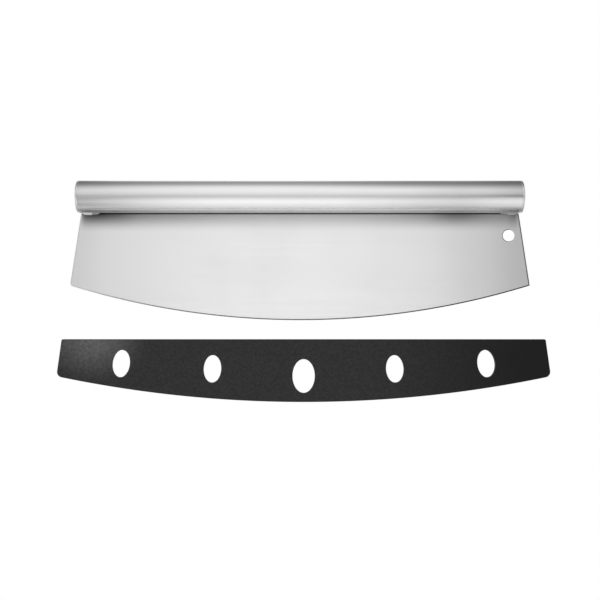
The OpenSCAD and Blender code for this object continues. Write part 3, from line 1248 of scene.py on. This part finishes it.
@dataclass
class Sheath:
    """The moulded sheath: two walls, a rim that closes the slot, and a row of oval windows."""

    effects: Effects
    box: Span = field(default_factory=lambda: Span.of("sheath_front_wall", "sheath_back_wall", "sheath_rim"))
    length: float = 381.4 * MM
    flare: float = 4.05 * MM
    floor_radius: float = 925 * MM
    wall: float = 1.2 * MM
    rim: float = 3 * MM
    corner_radius: float = 4.3 * MM
    mouth_corner: float = 1.2 * MM
    edge_round: float = 0.9 * MM
    corner_steps: int = 10
    round_steps: int = 5
    lead_in: float = 0.5 * MM
    window_pitch: float = 70.4 * MM
    side_windows: int = 2
    middle_window: tuple[float, float] = (17.2 * MM, 26.2 * MM)
    middle_drop: float = 28.4 * MM
    small_window: tuple[float, float] = (13.7 * MM, 21.3 * MM)
    window_bevel: float = 0.4 * MM
    window_steps: int = 80
    floor_steps: int = 64
    # How far in from the left end the painted sheen sits.
    sheen_inset: float = 28 * MM
    sharp: float = math.radians(28)

    @property
    def depth(self) -> float:
        """Depth of the sheath in its middle."""
        return self.box.size.z

    @property
    def thickness(self) -> float:
        """Thickness of the sheath over both walls."""
        return self.box.size.y

    @property
    def slant(self) -> float:
        """Lean of the sheath's ends, in radians."""
        return math.atan(self.flare / (self.depth - sag(self.floor_radius, self.length / 2)))

    def outline(self, inset: float, top: float) -> BMesh:
        """An outline beside the sheath's own, with its two bottom corners rounded.

        Args:
            inset: how far inside the sheath's outline it runs.
            top: height of its top, where the sheath's mouth is at 0.

        Returns:
            A mesh of that one upright face.
        """
        lean = Vector((math.cos(self.slant), math.sin(self.slant)))
        up = Vector((-lean.y, lean.x))
        middle = Vector((0.0, self.floor_radius - self.depth))
        radius = self.floor_radius - inset
        side = Vector((self.length / 2, sag(self.floor_radius, self.length / 2) - self.depth)) - lean * inset
        from_middle = side - middle
        half = from_middle.dot(up)
        corner = side - up * (half + math.sqrt(half * half - from_middle.length_squared + radius * radius))
        mouth_x = corner.x - (top - corner.y) * math.tan(self.slant)
        bm = bmesh.new()
        start = bm.verts.new((corner.x, 0, corner.y))
        mouth = [bm.verts.new((sign * mouth_x, 0, top)) for sign in (-1, 1)]
        arc = math.asin(corner.x / radius)
        last = bmesh.ops.spin(
            bm, geom=[start], cent=(0, 0, middle.y), axis=(0, 1, 0), angle=2 * arc,
            steps=self.floor_steps, use_merge=False,
        )["geom_last"]
        end = next(g for g in last if isinstance(g, BMVert))
        for first, second in ((end, mouth[0]), (mouth[0], mouth[1]), (mouth[1], start)):
            bm.edges.new((first, second))
        bmesh.ops.contextual_create(bm, geom=bm.edges[:])
        reach = rounding_reach(self.corner_radius - inset, math.pi / 2 + arc - self.slant)
        for sign in (-1, 1):
            round_corner(bm, sign * corner.x, corner.y, reach, self.corner_steps)
        return bm

    def body(self) -> BMesh:
        """Makes the sheath's outer form.

        Returns:
            A solid block with rounded edges.
        """
        bm = self.outline(0.0, 0.0)
        reach = rounding_reach(self.mouth_corner, math.pi / 2 + self.slant)
        for side in (-1, 1):
            round_corner(bm, side * (self.length / 2 - self.flare), 0.0, reach, self.round_steps)
        thicken(bm, self.thickness)
        bevel(bm, square_edges(bm), self.edge_round, self.round_steps)
        return bm

    def slot(self) -> BMesh:
        """Makes what the blade's slot takes away.

        Returns:
            The cutter, which reaches out of the mouth.
        """
        bm = self.outline(self.rim, 3 * PAST)
        thicken(bm, self.thickness - 2 * self.wall)
        return bm

    def lead_ins(self) -> BMesh:
        """Makes what the bevels on the two lips of the mouth take away.

        Returns:
            One cutter for both.
        """
        side = self.lead_in * math.sqrt(2)
        lips = []
        for face in (-1, 1):
            edge = Matrix.Translation((0, face * (self.thickness / 2 - self.wall), 0))
            turned = edge @ Matrix.Rotation(math.pi / 4, 4, "X")
            lips.append(block((self.length + 2 * PAST, side, side), turned))
        return joined(lips)

    def windows(self) -> list[BMesh]:
        """Makes what the windows take away.

        Returns:
            One cutter each.
        """
        cutters = [self.window(self.middle_window, Vector((0, 0, -self.middle_drop)), 0.0)]
        step = math.asin(self.window_pitch / self.floor_radius)
        for side in (-1, 1):
            for k in range(1, self.side_windows + 1):
                x = k * self.window_pitch
                middle = (self.depth - sag(self.floor_radius, x)) / 2
                place = Vector((side * x, 0, -middle))
                cutters.append(self.window(self.small_window, place, -side * k * step))
        return cutters

    def window(self, size: tuple[float, float], place: Vector, tilt: float) -> BMesh:
        """One window's cutter."""
        width, height = (side / 2 for side in size)
        return spool(width, height, self.thickness, self.window_bevel, place, tilt, self.window_steps)

    def mesh(self) -> BMesh:
        """Makes the whole moulding.

        Returns:
            Its mesh where the CAD holds the sheath at rest, whose faces are numbered by material, the edges'
            one painting shade.
        """
        bm = cut(self.body(), self.slot())
        bm = cut(bm, self.lead_ins())
        bm = cut(bm, joined(self.windows()))
        move(bm, self.box.centre.x, 0, self.box.high.z)
        bm.normal_update()
        # Faces that don't lie in the walls' planes take the darker copy, which paints shade on the edges.
        for face in bm.faces:
            face.material_index = int(abs(face.normal.y) < ROUNDED)
        return bm

    def build(self) -> Object:
        """Builds the sheath and dresses it.

        Returns:
            The piece.
        """
        # The painted sheen sits near the upper left corner.
        corner = Vector((self.box.low.x + self.sheen_inset, 0, self.box.high.z))
        face = PlasticFinish("sheath_plastic", sheen_middle=corner)
        # The rounded and square faces get a darker copy of the plastic with less sheen: painted shade.
        edge = PlasticFinish(
            "sheath_edge_painted_shade", base=0.004, texture_depth=0.003 * MM, sheen_middle=corner, sheen_coat=0.4,
            painted_sheen=0.03,
        )
        materials = [finish.material(self.effects) for finish in (face, edge)]
        piece = finished(self.mesh(), "sheath_moulding", materials, self.sharp)
        nodes = ("sheath_front_wall", "sheath_back_wall", "sheath_rim")
        return fitted(piece, "sheath", "sheath_plastic", *nodes)


@dataclass(frozen=True)
class LightTent:
    """Soft light from all round, as in a white tent that is open behind the lens.

    Angles go round the handle in degrees: 0 towards the lens, 90 up and -90 down.
    A sweep goes from the left to the right, as the sideways part of a direction.
    """

    gain: float = 1.6
    rise: Stops = (
        (-180, 0.95), (-155, 0.8), (-118, 0.45), (-100, 0.58), (-91, 0.68), (-73, 0.74), (-42, 0.94),
        (-27, 0.90), (-12, 0.68), (-1, 0.53), (12, 0.67), (30, 0.78), (55, 0.82), (72, 0.72), (89, 0.44),
        (113, 0.29), (132, 0.34), (150, 0.7), (180, 0.95),
    )
    left_end: Stops = ((-1.0, 0.75), (-0.7, 0.85), (-0.4, 0.45))
    right_end: Stops = ((0.4, 0.2), (0.55, 0.6), (0.75, 0.95), (1.0, 0.35))
    top_sweep: Stops = (
        (-0.208, 0.35), (-0.184, 0.75), (-0.155, 0.87), (-0.05, 1.0), (0.0, 1.0), (0.05, 0.87),
        (0.099, 0.67), (0.156, 0.60), (0.184, 0.44), (0.208, 0.31),
    )
    upper_sweep: Stops = (
        (-0.208, 0.72), (-0.155, 0.93), (-0.098, 1.0), (0.05, 1.0), (0.128, 1.0), (0.156, 0.96),
        (0.184, 0.74), (0.208, 0.48), (0.26, 0.2),
    )
    middle_sweep: Stops = (
        (-0.208, 0.66), (-0.155, 0.88), (-0.098, 0.98), (-0.05, 1.0), (0.05, 1.0), (0.099, 0.97),
        (0.128, 0.92), (0.156, 0.82), (0.184, 0.52), (0.208, 0.16), (0.26, 0.05),
    )
    lower_sweep: Stops = (
        (-0.208, 0.22), (-0.184, 0.55), (-0.155, 0.93), (-0.1, 1.0), (0.0, 1.0), (0.1, 0.92), (0.128, 0.66),
        (0.145, 0.15), (0.163, 0.08), (0.178, 0.97), (0.212, 1.0), (0.26, 0.6),
    )
    base_sweep: Stops = (
        (-0.222, 0.85), (-0.208, 0.58), (-0.184, 0.42), (-0.155, 0.96), (0.0, 1.0), (0.1, 0.97),
        (0.128, 0.66), (0.145, 0.15), (0.163, 0.08), (0.178, 0.92), (0.212, 0.75), (0.26, 0.5),
    )
    lower_from: float = -2.5
    lower_to: float = -14.0
    upper_from: float = 4.0
    upper_to: float = 14.0
    top_from: float = 42.0
    top_to: float = 74.0
    base_from: float = -74.0
    base_to: float = -85.0

    def swept(self, tree: Tree, sideways: object, stops: Stops) -> NodeSocket:
        """The share of light that a sweep leaves.

        Args:
            tree: the world's nodes.
            sideways: the socket with the direction's sideways part.
            stops: the sweep.

        Returns:
            The socket with the share.
        """
        inputs = {0: sideways, 1: -1.0, 2: 1.0, 3: 0.0, 4: 1.0}
        whole = [((x + 1) / 2, share) for x, share in (*self.left_end, *stops, *self.right_end)]
        return tree.ramp(tree.add("ShaderNodeMapRange", inputs).outputs[0], whole)

    def build(self) -> None:
        """Makes the world."""
        world = bpy.data.worlds.new("light_tent")
        bpy.context.scene.world = world
        world.use_nodes = True
        tree = Tree(world.node_tree)
        x, y, z = tree.axes(tree.add("ShaderNodeTexCoord").outputs["Generated"])
        round_handle = tree.maths("ARCTAN2", z, tree.maths("MULTIPLY", y, -1.0))
        place = tree.maths("ADD", tree.maths("DIVIDE", round_handle, math.tau), 0.5)
        rise = tree.ramp(place, [(angle / 360 + 0.5, light) for angle, light in self.rise])
        sweep = self.swept(tree, x, self.middle_sweep)
        for start, end, stops in (
            (self.lower_from, self.lower_to, self.lower_sweep),
            (self.upper_from, self.upper_to, self.upper_sweep),
            (self.top_from, self.top_to, self.top_sweep),
            (self.base_from, self.base_to, self.base_sweep),
        ):
            low, high = sorted((math.radians(start), math.radians(end)))
            share = tree.ranged(round_handle, low, high, float(start > end), float(start < end))
            sweep = tree.blend(share, sweep, self.swept(tree, x, stops))
        light = tree.maths("MULTIPLY", tree.maths("MULTIPLY", rise, sweep), self.gain)
        tent = tree.add("ShaderNodeBackground", {"Color": light, "Strength": 1.0})
        white = tree.add("ShaderNodeBackground", {"Color": (1, 1, 1, 1), "Strength": 1.0})
        seen = tree.add("ShaderNodeLightPath").outputs["Is Camera Ray"]
        both = tree.add("ShaderNodeMixShader", {0: seen, 1: tent.outputs[0], 2: white.outputs[0]})
        tree.add("ShaderNodeOutputWorld", {"Surface": both.outputs[0]})


@dataclass(frozen=True)
class Studio:
    """The floor and the camera."""

    floor_drop: float = 550 * MM
    floor_radius: float = 1.25
    floor_steps: int = 96
    floor_white: float = 0.9
    floor_glow: float = 0.42
    glow_from: float = 0.3
    glow_to: float = 1.125
    rim_glow: float = 0.66
    lens: float = 60.9
    sensor: float = 36.0
    camera_place: tuple[float, float, float] = (0.1 * MM, -784 * MM, -79.6 * MM)

    def floor(self, lowest: float) -> None:
        """Lays the pale floor, which metal doesn't mirror.

        Args:
            lowest: height of the object's lowest point.
        """
        bm = bmesh.new()
        middle = Vector((0, 0, lowest - self.floor_drop))
        turn = Matrix.Translation(middle)
        bmesh.ops.create_circle(
            bm, cap_ends=True, segments=self.floor_steps, radius=self.floor_radius, matrix=turn
        )
        floor = shown(bm, "floor")
        material = bpy.data.materials.new("floor_paper")
        material.use_nodes = True
        tree = Tree(material.node_tree)
        paper = tree.add("ShaderNodeBsdfDiffuse", {"Color": (self.floor_white,) * 3 + (1,)})
        path = tree.add("ShaderNodeLightPath")
        away = tree.vector("DISTANCE", tree.add("ShaderNodeTexCoord").outputs["Object"], middle)
        glowing = tree.ranged(away, self.glow_from, self.glow_to, self.floor_glow, self.rim_glow)
        strength = tree.maths("MULTIPLY", path.outputs["Is Camera Ray"], glowing)
        glow = tree.add("ShaderNodeEmission", {"Strength": strength})
        lit = tree.add("ShaderNodeAddShader", {0: paper.outputs[0], 1: glow.outputs[0]})
        clear = tree.add("ShaderNodeBsdfTransparent")
        inputs = {0: path.outputs["Is Glossy Ray"], 1: lit.outputs[0], 2: clear.outputs[0]}
        mixed = tree.add("ShaderNodeMixShader", inputs)
        tree.add("ShaderNodeOutputMaterial", {"Surface": mixed.outputs[0]})
        floor.data.materials.append(material)

    def camera(self) -> None:
        """Puts the camera where the photograph was taken from, level and facing the blade."""
        data = bpy.data.cameras.new("camera")
        data.lens = self.lens
        data.sensor_width = self.sensor
        camera = bpy.data.objects.new("camera", data)
        camera.location = self.camera_place
        camera.rotation_euler = (math.pi / 2, 0, 0)
        bpy.context.scene.collection.objects.link(camera)
        bpy.context.scene.camera = camera

    def build(self) -> None:
        """Sets up the whole studio."""
        bpy.context.scene.view_settings.view_transform = "Standard"
        self.floor(CAD_BOX[0].z)
        self.camera()


def main() -> None:
    """Builds the knife, the sheath and the studio."""
    logging.basicConfig(level=logging.INFO, format="%(name)s: %(message)s")
    effects = Effects()
    blade = Blade(effects)
    blade.build()
    Handle(effects, blade).build()
    Sheath(effects).build()
    LightTent().build()
    Studio().build()


if __name__ == "__main__":
    main()
